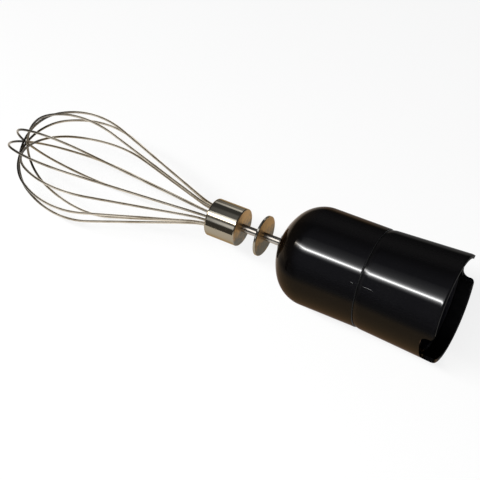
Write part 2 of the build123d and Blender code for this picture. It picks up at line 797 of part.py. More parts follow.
loop_planes = [loop_plane(angle, tilt) for angle, tilt in zip(loop_angles, loop_tilts)]
wire_straight = wire_start_x - wire_bend_x

# Plug in the ferrule that holds the wires and the shaft
with BuildPart() as ferrule_plug:
    with BuildSketch(Plane.YZ.offset(plug_face_x)):
        Circle(ferrule_bore - plug_clearance)
    extrude(amount=plug_end_x - plug_face_x)
    for plane in loop_planes:
        for side in (1, -1):
            with BuildSketch(strand_plane(plane, side, 0)):
                Circle(wire_radius + seat_fit)
            extrude(amount=-(wire_straight + plug_clearance), mode=Mode.SUBTRACT)
    with BuildSketch(Plane.YZ.offset(plug_end_x)):
        Circle(shaft_radius + seat_fit)
    extrude(amount=-(shaft_in_plug + plug_clearance), mode=Mode.SUBTRACT)
ferrule_plug.part.label = "ferrule_plug"
export_step(ferrule_plug.part, "parts/ferrule_plug.step")

# Wire loops: each leaves the plug, bends out to a straight neck, swells to a belly and turns at
# its end. The loops differ in length, so that they cross one above the other at the tip, and each
# leans and tilts a little, as hand-bent loops do.
end_radius = belly_radius - hypot(belly_offset, belly_radius - belly_reach)
bend_circle = wire_circle + wire_bend_radius
belly_circle = belly_reach - belly_radius
round_radii = wire_bend_radius + belly_radius
end_arc = degrees(atan2(belly_offset, -belly_circle))

for number, (plane, order, lean_count) in enumerate(zip(loop_planes, loop_order, loop_leans), start=1):
    lean = lean_count * lean_step
    run = shortest_loop + order * loop_step - end_radius - belly_offset
    with BuildPart() as whisk_wire:
        with BuildLine(plane):
            for side in (1, -1):
                belly_centre = belly_circle + side * lean
                drop = bend_circle - belly_centre
                neck = degrees(asin(round_radii / hypot(run, drop)) - atan2(drop, run))
                bend_end_x = -wire_bend_radius * sin(radians(neck))
                bend_end_r = bend_circle - wire_bend_radius * cos(radians(neck))
                neck_end_x = belly_radius * sin(radians(neck)) - run
                neck_end_r = belly_radius * cos(radians(neck)) + belly_centre
                Line((wire_straight, side * wire_circle), (0, side * wire_circle))
                CenterArc((0, side * bend_circle), wire_bend_radius, -90 * side, -neck * side)
                Line((bend_end_x, side * bend_end_r), (neck_end_x, side * neck_end_r))
                CenterArc(
                    (-run, side * belly_centre),
                    belly_radius,
                    (90 - neck) * side,
                    (neck + end_arc) * side,
                )
            CenterArc((-run - belly_offset, lean), end_radius, 90 + end_arc, 2 * (90 - end_arc))
        with BuildSketch(strand_plane(plane, 1, wire_straight)):
            Circle(wire_radius)
        sweep()
    whisk_wire.part.label = f"whisk_wire_{number}"
    export_step(whisk_wire.part, f"parts/whisk_wire_{number}.step")
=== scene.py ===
import json
import math

import bmesh
import bpy
from mathutils import Matrix, Vector
from mathutils.bvhtree import BVHTree


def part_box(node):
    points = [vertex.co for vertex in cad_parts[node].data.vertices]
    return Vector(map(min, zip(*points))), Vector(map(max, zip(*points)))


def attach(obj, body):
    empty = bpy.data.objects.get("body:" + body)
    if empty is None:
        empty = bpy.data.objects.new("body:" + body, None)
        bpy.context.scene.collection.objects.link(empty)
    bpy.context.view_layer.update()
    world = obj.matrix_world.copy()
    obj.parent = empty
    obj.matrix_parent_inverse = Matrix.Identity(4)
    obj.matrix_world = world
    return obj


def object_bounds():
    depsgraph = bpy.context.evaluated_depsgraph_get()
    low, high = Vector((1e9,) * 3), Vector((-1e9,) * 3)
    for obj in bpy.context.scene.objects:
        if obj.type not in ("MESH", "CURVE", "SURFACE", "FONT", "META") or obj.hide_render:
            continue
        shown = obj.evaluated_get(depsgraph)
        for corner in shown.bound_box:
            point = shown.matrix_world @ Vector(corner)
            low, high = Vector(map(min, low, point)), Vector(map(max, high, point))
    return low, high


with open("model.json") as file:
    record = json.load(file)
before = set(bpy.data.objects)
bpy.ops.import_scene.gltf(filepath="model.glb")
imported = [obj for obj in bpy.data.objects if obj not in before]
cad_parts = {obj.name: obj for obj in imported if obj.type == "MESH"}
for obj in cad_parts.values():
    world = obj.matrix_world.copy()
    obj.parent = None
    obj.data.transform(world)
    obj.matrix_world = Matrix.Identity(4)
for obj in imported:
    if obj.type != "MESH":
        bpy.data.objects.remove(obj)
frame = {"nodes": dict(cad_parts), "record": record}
cad_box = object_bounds()
solids = frame["nodes"]
scene = bpy.context.scene

MM = 0.001
WHITE = (1.0, 1.0, 1.0)
X_AXIS = Vector((1.0, 0.0, 0.0))

# Camera, fitted to the outlines of the shells, the ferrule, the disc and the wires
camera_azimuth = math.radians(29.92)
camera_elevation = math.radians(42.66)
camera_distance = 656.2 * MM
camera_target = Vector((-121.28, -5.19, -4.99)) * MM
camera_lens = 84.94
camera_sensor = 36.0

# Floor: white under and behind the object, turned to face the camera. It fades from grey to white at each of
# its four sides, and its left side runs outwards towards the back.
floor_height = cad_box[0].z
floor_left = (-400 * MM, -248 * MM)
floor_left_slope = 0.158
floor_right = (500 * MM, 250 * MM)
floor_front = (-260 * MM, -100 * MM)
floor_back = (680 * MM, 400 * MM)
floor_far_strength = 0.3
floor_radius = 6.0
floor_segments = 96
floor_own_share = 0.15

# Dark card in front of the ferrule, which shows only in the polish
card_place = Vector((-157.0, -70.0, -3.0)) * MM
card_width = 34 * MM
card_height = 37 * MM
card_strength = 0.08

# The room, and the factor that turns an area lamp's size and radiance into its energy
world_colour = (0.085, 0.092, 0.104)
lamp_energy_factor = 4.0

# Strip lamp, whose mirror image is the long bright line on both shells
key_ends = (Vector((-918.0, -226.0, 460.0)) * MM, Vector((83.0, -687.0, 750.0)) * MM)
key_width = 280 * MM
key_radiance = 72.0
key_falloff = 5.6
key_soft_start = 0.86
key_dim_places = (0.15, 0.55)
key_dim_strength = 0.5
key_aim = Vector((-50.0, 0.0, 0.0)) * MM

# Panels along X. Each fills a band of angles about the axis, in degrees from +Y towards +Z, and has a
# radiance. Most are soft from a share of the way to their edges.
panel_distance = 900 * MM
panel_soft_along = 0.2
panel_soft_across = 0.3
glow_angles = (102.0, 131.0)
glow_radiance = 6.2
glow_place = Vector((-319.0, 0.0, 0.0)) * MM
glow_width = 900 * MM
glow_fade = 3.6
wire_panels = {
    "wire_back_panel": ((0.0, 56.0), 1.2),
    "wire_front_panel": ((138.0, 178.0), 0.9),
}
wire_place = Vector((-520.0, 0.0, 0.0)) * MM
long_panel_width = 2400 * MM
shaft_angles = (96.0, 152.0)
shaft_radiance = 2.4
ferrule_panels = {
    "zenith_panel": ((70.0, 112.0), 0.15),
    "top_panel": ((104.0, 126.0), 2.3),
    "front_panel": ((143.0, 170.0), 1.1),
    "back_panel": ((26.0, 48.0), 1.15),
    "low_back_panel": ((-6.0, 34.0), 0.35),
}
ferrule_place = Vector((-480.0, 0.0, 0.0)) * MM
ferrule_panel_width = 160 * MM
ferrule_panel_colour = (0.90, 0.98, 1.12)

# Parts of the object that some finishes and pieces are placed by
ferrule_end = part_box("whisk_ferrule")[1].x
disc_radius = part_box("splash_disc")[1].z
seam_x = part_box("gearbox_dome")[1].x
shell_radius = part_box("gearbox_dome")[1].z

# Zones of the shells' finish, painted reflections and painted light: the first and the last place of each
# fade, along X, across Y or up Z
nose_along = (-88 * MM, -74 * MM)
nose_up = (-8 * MM, 16 * MM)
near_across = (-20 * MM, -14 * MM)
low_up = (4 * MM, 9.5 * MM)
band_up = (11 * MM, 15 * MM)
back_across = (9 * MM, 11 * MM)
front_along = (-50 * MM, -34 * MM)
far_across = (-8 * MM, 3 * MM)
# Painted light beside the joint, which offsets the shade in its groove
joint_painted_light_x = seam_x + 1.1 * MM
joint_painted_light_reach = (0.5 * MM, 1.9 * MM)
joint_painted_light_strength = 0.14
socket_wall = (26.6 * MM, 28.4 * MM)
socket_along = (seam_x - 12 * MM, seam_x - 8 * MM)

# Zones of the steel's finish, its painted reflections and its painted shade. On the wires' low back side the
# painted reflection of the tip starts later.
ferrule_face_along = (ferrule_end - 0.6 * MM, ferrule_end - 0.1 * MM)
disc_edge = (disc_radius - 0.4 * MM, disc_radius - 0.1 * MM)
# Painted shade on the dull faces, greyer below these heights
painted_shade_low_up = (-4 * MM, 5 * MM)
tip_along = (-278 * MM, -238 * MM)
tip_behind_axis = (0.84, 0.55)
tip_behind = (4 * MM, 14 * MM)
tip_behind_shift = 16 * MM
crossing_x = -279 * MM
crossing_reach = (1 * MM, 5 * MM)

# Bead in the joint between the shells, and raised marks beside it
bead_ends = (-0.28 * MM, 0.44 * MM)
bead_inset = 0.16 * MM
bead_depth = 0.40 * MM
bead_steps = 8
ring_segments = 256
mark_angle = 147.0
mark_width = 1.4 * MM
mark_height = 0.2 * MM
mark_floor = 0.15 * MM
long_mark_ends = (1.9 * MM, 9.2 * MM)
short_mark_ends = (-4.6 * MM, -2.2 * MM)
mark_steps = (24, 10)
weld_distance = 0.001 * MM


# Small helpers for node trees

def node(tree, kind, inputs=None, **settings):
    """Adds a node, sets its options, and fills its sockets with values or links."""
    made = tree.nodes.new(kind)
    for name, value in settings.items():
        setattr(made, name, value)
    for name, value in (inputs or {}).items():
        socket = made.inputs[name]
        if isinstance(value, bpy.types.NodeSocket):
            tree.links.new(value, socket)
        else:
            socket.default_value = value
    return made


def maths(tree, operation, first, second=0.0):
    """One sum on two values or sockets."""
    return node(tree, "ShaderNodeMath", {0: first, 1: second}, operation=operation).outputs[0]


def times(tree, first, second):
    """The product of two values or sockets; of two masks, where both hold."""
    return maths(tree, "MULTIPLY", first, second)


def plus(tree, first, second):
    """The sum of two values or sockets."""
    return maths(tree, "ADD", first, second)


def larger(tree, first, second):
    """The larger of two values or sockets; of two masks, where one holds."""
    return maths(tree, "MAXIMUM", first, second)


def distance_from(tree, value, centre):
    """How far a value is from another, to either side."""
    return maths(tree, "ABSOLUTE", maths(tree, "SUBTRACT", value, centre))


def spread(tree, factor, low, high, start=0.0, end=1.0, smooth=False):
    """Turns a factor between start and end into a value between low and high."""
    made = node(tree, "ShaderNodeMapRange", {
        "Value": factor, "From Min": start, "From Max": end, "To Min": low, "To Max": high,
    })
    if smooth:
        made.interpolation_type = "SMOOTHSTEP"
    return made.outputs["Result"]


def noise(tree, where, scale, detail=4.0, roughness=0.55):
    """A noise factor at a place."""
    made = node(tree, "ShaderNodeTexNoise", {
        "Vector": where, "Scale": scale, "Detail": detail, "Roughness": roughness,
    })
    return made.outputs["Fac"]


def cells(tree, where, scale):
    """Distance from the nearest of many scattered points."""
    return node(tree, "ShaderNodeTexVoronoi", {"Vector": where, "Scale": scale}).outputs["Distance"]


def blend_colours(tree, factor, first, second):
    """A colour between two colours."""
    made = node(tree, "ShaderNodeMix", {"Factor": factor}, data_type="RGBA")
    for socket, value in ((made.inputs[6], first), (made.inputs[7], second)):
        if isinstance(value, bpy.types.NodeSocket):
            tree.links.new(value, socket)
        else:
            socket.default_value = (*value, 1.0)
    return made.outputs[2]


def bump(tree, height, strength, distance, normal=None):
    """A bump of a real height, in metres."""
    inputs = {"Height": height, "Strength": strength, "Distance": distance}
    if normal is not None:
        inputs["Normal"] = normal
    return node(tree, "ShaderNodeBump", inputs).outputs["Normal"]


def own_place(tree):
    """Coordinates on the piece itself, in metres."""
    return node(tree, "ShaderNodeTexCoord").outputs["Object"]


def split(tree, where):
    """The X, Y and Z of a place."""
    return node(tree, "ShaderNodeSeparateXYZ", {"Vector": where}).outputs


def stretched(tree, where, scales):
    """Coordinates with each axis scaled by itself."""
    made = node(tree, "ShaderNodeVectorMath", {0: where, 1: scales}, operation="MULTIPLY")
    return made.outputs["Vector"]


def flattened(tree, where):
    """Coordinates without their X."""
    return stretched(tree, where, (0.0, 1.0, 1.0))


def radius_from_axis(tree, where):
    """Distance from the X axis."""
    made = node(tree, "ShaderNodeVectorMath", {0: flattened(tree, where)}, operation="LENGTH")
    return made.outputs["Value"]


def turned_place(tree, where, across, around):
    """Coordinates for turning marks: fine along X and along the radius, slow around the axis."""
    line = plus(tree, split(tree, where)["X"], radius_from_axis(tree, where))
    start = node(tree, "ShaderNodeCombineXYZ", {"X": times(tree, line, across)}).outputs["Vector"]
    ring = node(tree, "ShaderNodeVectorMath", {0: flattened(tree, where)}, operation="NORMALIZE")
    ring = stretched(tree, ring.outputs["Vector"], (0.0, around, around))
    made = node(tree, "ShaderNodeVectorMath", {0: start, 1: ring}, operation="ADD")
    return made.outputs["Vector"]


def new_material(name):
    """A plain material: its tree, its main shader, and its own coordinates."""
    material = bpy.data.materials.new(name)
    material.use_nodes = True
    tree = material.node_tree
    shader = tree.nodes["Principled BSDF"]
    return material, tree, shader, own_place(tree)


def join(tree, output, shader, name):
    """Leads a value into one of the shader's sockets."""
    tree.links.new(output, shader.inputs[name])


def show(tree, surface):
    """Makes a shader the whole look of a material."""
    tree.links.new(surface, tree.nodes["Material Output"].inputs["Surface"])


# Black gloss of the two shells, with painted reflections and painted light

def shell_painted_reflections(tree, shader, place):
    """A thin skin that shows at a slant. Its amber tint at the nose, low in front and at the back is a
    painted reflection; a stronger coat reflection on the upper nose is a painted highlight, and a duller
    band low in front is painted shade.
    """
    grey, painted_reflection_amber = (0.46, 0.45, 0.44), (0.64, 0.52, 0.38)
    along, across, height = split(tree, place)
    nose = spread(tree, along, 1.0, 0.0, *nose_along, smooth=True)
    # Painted highlight: the coat reflects more on the upper part of the nose
    painted_highlight_upper_nose = times(tree, nose, spread(tree, height, 0.0, 1.0, *nose_up))
    join(tree, spread(tree, painted_highlight_upper_nose, 1.02, 1.07), shader, "Coat IOR")

    near = spread(tree, across, 1.0, 0.0, *near_across)
    low = spread(tree, height, 1.0, 0.0, *low_up, smooth=True)
    # Painted shade: a band low in front where the shells reflect less
    band = times(tree, spread(tree, height, 1.0, 0.0, *band_up), near)
    band = times(tree, band, maths(tree, "SUBTRACT", 1.0, low))
    join(tree, spread(tree, band, 0.5, 0.08), shader, "Specular IOR Level")

    # Painted reflection: an amber coat tint at the nose, low in front and along the back edge
    front = larger(tree, times(tree, low, near), nose)
    back_edge = spread(tree, across, 0.0, 0.7, *back_across)
    back_edge = times(tree, back_edge, spread(tree, along, 1.0, 0.0, *front_along))
    join(tree, blend_colours(tree, larger(tree, front, back_edge), grey, painted_reflection_amber), shader, "Coat Tint")

    slant = node(tree, "ShaderNodeLayerWeight", {"Blend": 0.5}).outputs["Facing"]
    join(tree, spread(tree, slant, 0.0, 1.0, 0.06, 0.21), shader, "Coat Weight")


def shell_black_and_painted_light(tree, place):
    """Cloudy black with specks of dust in patches. It is greyer on the far side and beside the joint, which
    is painted light; beside the joint it offsets the groove's shade.
    """
    dark, light = (0.0028, 0.0027, 0.0032), (0.0042, 0.0041, 0.0047)
    far_painted_light_grey, joint_painted_light_grey, dust_grey = (0.0140, 0.0136, 0.0145), (0.026, 0.025, 0.026), (0.10, 0.09, 0.08)
    along, across, _ = split(tree, place)
    base = blend_colours(tree, noise(tree, place, 38.0, 3.0), dark, light)
    # Painted light: greyer black on the far side
    far = spread(tree, across, 0.0, 1.0, *far_across, smooth=True)
    base = blend_colours(tree, far, base, far_painted_light_grey)
    # Painted light: greyer black beside the joint, which offsets the shade in its groove
    joint = distance_from(tree, along, joint_painted_light_x)
    joint = spread(tree, joint, joint_painted_light_strength, 0.0, *joint_painted_light_reach)
    base = blend_colours(tree, joint, base, joint_painted_light_grey)
    specks = spread(tree, cells(tree, place, 620.0), 1.0, 0.0, 0.03, 0.10)
    patches = spread(tree, noise(tree, place, 70.0, 2.0), 0.0, 1.0, 0.52, 0.72)
    dust = times(tree, times(tree, specks, patches), 0.35)
    return blend_colours(tree, dust, base, dust_grey)


def shell_inside(tree, place):
    """1 inside the socket, 0 on the outside of the shells."""
    wall = spread(tree, radius_from_axis(tree, place), 1.0, 0.0, *socket_wall)
    return times(tree, wall, spread(tree, split(tree, place)["X"], 0.0, 1.0, *socket_along))


def shell_gloss(tree, place):
    """Roughness of the outside: faint haze, and wipe marks round the axis."""
    haze = spread(tree, noise(tree, place, 55.0, 5.0, 0.6), 0.045, 0.085, 0.35, 0.75)
    wipes = noise(tree, turned_place(tree, place, 900.0, 5.0), 1.0, 3.0)
    return plus(tree, haze, spread(tree, wipes, 0.0, 0.03, 0.55, 0.8))


def shell_surface(tree, place):
    """Normals of the outside: a faint orange peel, and hairline scratches along the axis."""
    peel = bump(tree, noise(tree, place, 260.0, 2.0), 0.06, 0.02 * MM)
    scratch = noise(tree, stretched(tree, place, (180.0, 2400.0, 2400.0)), 1.0, 2.0)
    scratch = spread(tree, scratch, 0.0, 1.0, 0.66, 0.74)
    return bump(tree, scratch, 0.05, 0.01 * MM, peel)


def black_shell():
    """High-gloss black moulded plastic, with faint haze, wipe marks and dust, and painted reflections and
    painted light; inside the socket it is plain moulded, with a lighter grey that is painted light.
    """
    # Painted light: a lighter bluish grey inside the socket, against its shade
    socket_painted_light_grey = (0.036, 0.034, 0.044)
    inside_roughness = 0.60
    material, tree, shader, place = new_material("black_shell_gloss")
    shader.inputs["IOR"].default_value = 1.29
    shader.inputs["Coat Roughness"].default_value = 0.08
    shell_painted_reflections(tree, shader, place)
    inside = shell_inside(tree, place)
    base = blend_colours(tree, inside, shell_black_and_painted_light(tree, place), socket_painted_light_grey)
    roughness = plus(tree, shell_gloss(tree, place), times(tree, inside, inside_roughness))
    join(tree, base, shader, "Base Color")
    join(tree, roughness, shader, "Roughness")
    join(tree, shell_surface(tree, place), shader, "Normal")
    return material


# Other plastics, rubber and bronze

def seam_black():
    """Matt black filling of the joint between the shells, a little cloudy."""
    dark, light = (0.0050, 0.0049, 0.0052), (0.0090, 0.0088, 0.0092)
    material, tree, shader, place = new_material("seam_black_matt")
    shader.inputs["Specular IOR Level"].default_value = 0.12
    cloud = noise(tree, place, 160.0)
    join(tree, blend_colours(tree, cloud, dark, light), shader, "Base Color")
    join(tree, spread(tree, cloud, 0.34, 0.46), shader, "Roughness")
    return material


def moulded_nylon(name, dark, light, roughness):
    """Plain moulded plastic with a fine spark-eroded grain."""
    material, tree, shader, place = new_material(name)
    cloud = noise(tree, place, 120.0)
    join(tree, blend_colours(tree, cloud, dark, light), shader, "Base Color")
    grain = noise(tree, place, 2600.0, 3.0)
    join(tree, spread(tree, grain, roughness - 0.06, roughness + 0.10), shader, "Roughness")
    join(tree, bump(tree, grain, 0.25, 0.03 * MM), shader, "Normal")
    return material


def black_inner():
    """Black nylon of the cover and the drive coupling."""
    return moulded_nylon("black_inner_nylon", (0.010, 0.010, 0.011), (0.022, 0.021, 0.021), 0.46)


def plug_plastic():
    """Dark grey nylon of the ferrule's plug."""
    return moulded_nylon("plug_nylon", (0.030, 0.029, 0.028), (0.055, 0.053, 0.050), 0.50)


def gear_plastic():
    """Natural acetal with a film of grease that pools in patches."""
    cream, pale_cream, grease_tan = (0.74, 0.72, 0.66), (0.80, 0.79, 0.74), (0.70, 0.62, 0.44)
    material, tree, shader, place = new_material("gear_acetal")
    grease = spread(tree, noise(tree, place, 230.0, 3.0), 0.0, 1.0, 0.45, 0.65)
    base = blend_colours(tree, noise(tree, place, 160.0), cream, pale_cream)
    base = blend_colours(tree, times(tree, grease, 0.5), base, grease_tan)
    join(tree, base, shader, "Base Color")
    join(tree, spread(tree, grease, 0.46, 0.16), shader, "Roughness")
    join(tree, bump(tree, noise(tree, place, 1500.0, 3.0), 0.15, 0.03 * MM), shader, "Normal")
    return material


def seal_rubber():
    """Smooth black rubber with a dusty bloom."""
    dark, dusty = (0.012, 0.012, 0.012), (0.034, 0.033, 0.032)
    material, tree, shader, place = new_material("seal_nitrile")
    bloom = noise(tree, place, 300.0, 5.0, 0.65)
    join(tree, blend_colours(tree, bloom, dark, dusty), shader, "Base Color")
    join(tree, spread(tree, bloom, 0.55, 0.8), shader, "Roughness")
    join(tree, bump(tree, noise(tree, place, 1900.0, 3.0), 0.2, 0.02 * MM), shader, "Normal")
    return material


def bearing_bronze():
    """Sintered bronze: open pores, and oil that darkens it in patches."""
    bronze, oily_bronze, pore_brown = (0.62, 0.45, 0.22), (0.44, 0.29, 0.13), (0.12, 0.08, 0.04)
    material, tree, shader, place = new_material("bearing_bronze")
    shader.inputs["Metallic"].default_value = 1.0
    pores = spread(tree, cells(tree, place, 3600.0), 1.0, 0.0, 0.05, 0.22)
    oil = spread(tree, noise(tree, place, 240.0, 3.0), 0.0, 1.0, 0.40, 0.70)
    base = blend_colours(tree, oil, bronze, oily_bronze)
    join(tree, blend_colours(tree, pores, base, pore_brown), shader, "Base Color")
    join(tree, spread(tree, oil, 0.42, 0.24), shader, "Roughness")
    join(tree, bump(tree, pores, 0.4, -0.03 * MM), shader, "Normal")
    return material


# Steel

def turned_steel(name, dark, light, roughness, mark_depth=0.003 * MM):
    """Steel with fine turning marks round the X axis, cloudy in colour, with a film; its tan at a slant is a
    painted reflection.
    """
    painted_reflection_tan = (0.60, 0.45, 0.30)
    material, tree, shader, place = new_material(name)
    shader.inputs["Metallic"].default_value = 1.0
    # Painted reflection: a tan tint at a slant
    shader.inputs["Specular Tint"].default_value = (*painted_reflection_tan, 1.0)
    cloud = noise(tree, place, 90.0, 4.0, 0.6)
    marks = noise(tree, turned_place(tree, place, 5200.0, 2.5), 1.0, 3.0, 0.6)
    tone = plus(tree, times(tree, cloud, 0.6), times(tree, marks, 0.4))
    smear = spread(tree, noise(tree, place, 140.0), 0.0, 0.06, 0.45, 0.75)
    shine = plus(tree, spread(tree, marks, roughness - 0.03, roughness + 0.04), smear)
    join(tree, blend_colours(tree, tone, dark, light), shader, "Base Color")
    join(tree, shine, shader, "Roughness")
    join(tree, bump(tree, marks, 0.12, mark_depth), shader, "Normal")
    return material


def dull_face_with_painted_reflection(material, where_dull):
    """Gives part of a steel piece a dull turned face whose tan is a painted reflection, turning lower down
    to a grey that is painted shade.
    """
    # Painted reflection (tan) and painted shade (grey) of the dull faces
    painted_reflection_face_tan, painted_shade_face_grey = (0.48, 0.325, 0.185), (0.157, 0.172, 0.174)
    more_roughness = 0.28
    tree = material.node_tree
    shader = tree.nodes["Principled BSDF"]
    place = own_place(tree)
    dull = where_dull(tree, place)
    patches = spread(tree, noise(tree, place, 420.0, 4.0, 0.65), -0.45, 0.45, 0.3, 0.7)
    # Painted shade: greyer lower down, with a patchy edge
    low = plus(tree, spread(tree, split(tree, place)["Z"], 1.0, 0.0, *painted_shade_low_up), patches)
    film = blend_colours(tree, low, painted_reflection_face_tan, painted_shade_face_grey)
    plain = shader.inputs["Base Color"].links[0].from_socket
    shine = shader.inputs["Roughness"].links[0].from_socket
    join(tree, blend_colours(tree, dull, plain, film), shader, "Base Color")
    join(tree, plus(tree, shine, times(tree, dull, more_roughness)), shader, "Roughness")


def ferrule_face(tree, place):
    """1 on the ferrule's end face, 0 on its barrel."""
    return spread(tree, split(tree, place)["X"], 0.0, 1.0, *ferrule_face_along)


def disc_faces(tree, place):
    """1 on the disc's flat faces, 0 on its rim."""
    return spread(tree, radius_from_axis(tree, place), 1.0, 0.0, *disc_edge)


def ferrule_steel():
    """Polished barrel; dull end face with a painted tan reflection and painted shade lower down."""
    material = turned_steel("ferrule_steel", (0.31, 0.262, 0.19), (0.37, 0.322, 0.245), 0.09)
    dull_face_with_painted_reflection(material, ferrule_face)
    return material


def disc_steel():
    """Polished rim; dull faces with a painted tan reflection and painted shade lower down."""
    material = turned_steel("disc_steel", (0.30, 0.26, 0.20), (0.36, 0.32, 0.25), 0.12)
    dull_face_with_painted_reflection(material, disc_faces)
    return material


def shaft_steel():
    """Plain ground shaft."""
    return turned_steel("shaft_steel", (0.38, 0.35, 0.31), (0.44, 0.41, 0.37), 0.24)


def small_steel():
    """Plated washers, pins, rings, screws and the sun gear, with deeper marks."""
    return turned_steel("small_steel_plated", (0.48, 0.48, 0.47), (0.62, 0.61, 0.58), 0.24, 0.010 * MM)


def painted_tip_reflection(tree, place):
    """Painted reflection at the balloon's tip: where it lies, and its colour, dark, and browner behind and
    at the crossing.
    """
    dark, brown, painted_reflection_brown = (0.055, 0.053, 0.050), (0.18, 0.15, 0.11), (0.28, 0.21, 0.12)
    along, across, height = split(tree, place)
    back_share, low_share = tip_behind_axis
    behind = maths(tree, "SUBTRACT", times(tree, across, back_share), times(tree, height, low_share))
    behind = spread(tree, behind, 0.0, 1.0, *tip_behind, smooth=True)
    tip = plus(tree, along, times(tree, behind, tip_behind_shift))
    tip = spread(tree, tip, 1.0, 0.0, *tip_along, smooth=True)
    # Painted reflection at the tip: dark, browner behind and at the crossing
    crossing = spread(tree, distance_from(tree, along, crossing_x), 1.0, 0.0, *crossing_reach)
    colour = blend_colours(tree, crossing, dark, brown)
    return tip, blend_colours(tree, behind, colour, painted_reflection_brown)


def wire_steel():
    """Bright drawn wire with a thin brownish film in patches; the dark and brown tones at the tip of the
    balloon are a painted reflection.
    """
    bright, filmed, painted_reflection_tan = (0.80, 0.72, 0.60), (0.29, 0.23, 0.15), (1.0, 0.94, 0.86)
    material, tree, shader, place = new_material("wire_steel_drawn")
    shader.inputs["Metallic"].default_value = 1.0
    # Painted reflection: a warm tint at a slant
    shader.inputs["Specular Tint"].default_value = (*painted_reflection_tan, 1.0)
    patches = spread(tree, noise(tree, place, 48.0, 4.0, 0.6), 0.0, 1.0, 0.35, 0.68)
    tip, tip_painted_colour = painted_tip_reflection(tree, place)
    base = blend_colours(tree, patches, bright, filmed)
    join(tree, blend_colours(tree, tip, base, tip_painted_colour), shader, "Base Color")
    join(tree, spread(tree, noise(tree, place, 700.0, 3.0), 0.11, 0.17), shader, "Roughness")
    return material


# Floor and card

def floor_white(tree, place):
    """1 on the white part of the floor, less towards its four sides."""
    turned = node(tree, "ShaderNodeVectorRotate", {"Vector": place, "Angle": -camera_azimuth})
    along, depth, _ = split(tree, turned.outputs["Vector"])
    left = plus(tree, along, times(tree, depth, floor_left_slope))
    white = 1.0
    for coordinate, (grey_edge, white_edge) in (
        (left, floor_left), (along, floor_right), (depth, floor_front), (depth, floor_back),
    ):
        side = spread(tree, coordinate, floor_far_strength, 1.0, grey_edge, white_edge, smooth=True)
        white = maths(tree, "MINIMUM", side, white)
    return white


def floor_material():
    """Pale matt floor. Seen directly or mirrored it is white near the object, and it keeps some shadow."""
    pale, paler = (0.80, 0.80, 0.79), (0.84, 0.84, 0.83)
    material, tree, shader, place = new_material("floor_white")
    tree.nodes.remove(shader)
    own_colour = blend_colours(tree, noise(tree, place, 900.0, 3.0), pale, paler)
    matt = node(tree, "ShaderNodeBsdfDiffuse", {"Color": own_colour}).outputs["BSDF"]
    glow = node(tree, "ShaderNodeEmission", {"Strength": floor_white(tree, place)}).outputs["Emission"]
    path = node(tree, "ShaderNodeLightPath").outputs
    seen = larger(tree, path["Is Camera Ray"], path["Is Glossy Ray"])
    seen = larger(tree, seen, path["Is Transmission Ray"])
    share = times(tree, seen, 1.0 - floor_own_share)
    show(tree, node(tree, "ShaderNodeMixShader", {0: share, 1: matt, 2: glow}).outputs["Shader"])
    return material


def card_material():
    """Even dark grey."""
    material, tree, shader, _ = new_material("card_grey")
    tree.nodes.remove(shader)
    show(tree, node(tree, "ShaderNodeEmission", {"Strength": card_strength}).outputs["Emission"])
    return material


def add_to_scene(name, data):
    """A new object for a mesh, a lamp or a camera."""
    made = bpy.data.objects.new(name, data)
    scene.collection.objects.link(made)
    return made


def add_shape(name, shape, material):
    """Turns a bmesh into an object with one material."""
    mesh = bpy.data.meshes.new(name)
    shape.to_mesh(mesh)
    shape.free()
    mesh.materials.append(material)
    return add_to_scene(name, mesh)


def add_floor():
    """A wide round floor that the object lies on."""
    shape = bmesh.new()
    bmesh.ops.create_circle(shape, cap_ends=True, segments=floor_segments, radius=floor_radius)
    floor = add_shape("floor", shape, floor_material())
    floor.location.z = floor_height


def add_card():
    """An upright card that only mirror images show."""
    shape = bmesh.new()
    bmesh.ops.create_grid(shape, size=0.5)
    card = add_shape("dark_card", shape, card_material())
    card.location = card_place
    card.rotation_euler.x = math.pi / 2.0
    card.scale = (card_width, card_height, 1.0)
    card.visible_camera = False
    card.visible_diffuse = False
    card.visible_transmission = False
    card.visible_shadow = False


# Camera, room and lamps

def add_camera():
    """The photo's viewpoint."""
    back = Vector((
        math.sin(camera_azimuth) * math.cos(camera_elevation),
        -math.cos(camera_azimuth) * math.cos(camera_elevation),
        math.sin(camera_elevation),
    ))
    data = bpy.data.cameras.new("camera")
    data.lens = camera_lens
    data.sensor_width = camera_sensor
    camera = add_to_scene("camera", data)
    camera.location = camera_target + back * camera_distance
    camera.rotation_euler = back.to_track_quat("Z", "Y").to_euler()
    scene.camera = camera


def add_world():
    """A dim, even room."""
    world = bpy.data.worlds.new("studio")
    scene.world = world
    world.use_nodes = True
    world.node_tree.nodes["Background"].inputs["Color"].default_value = (*world_colour, 1.0)


def add_lamp(name, centre, along, aim, size, radiance, colour=WHITE):
    """A rectangular lamp with its long side in a given direction, turned to face a point."""
    data = bpy.data.lights.new(name, "AREA")
    data.shape = "RECTANGLE"
    data.size, data.size_y = size
    data.energy = lamp_energy_factor * size[0] * size[1] * radiance
    data.color = colour
    lamp = add_to_scene(name, data)
    across = along.normalized()
    back = centre - aim
    back = (back - across * back.dot(across)).normalized()
    axes = Matrix((across, back.cross(across), back)).transposed()
    lamp.matrix_world = Matrix.Translation(centre) @ axes.to_4x4()
    lamp.visible_camera = False
    return data


def link_lamp(name, chosen, state):
    """Lets a lamp light only the chosen solids, or all but those."""
    receivers = bpy.data.collections.new(name + "_receivers")
    for solid in chosen:
        receivers.objects.link(solids[solid])
    for member in receivers.collection_objects:
        member.light_linking.link_state = state
    scene.objects[name].light_linking.receiver_collection = receivers


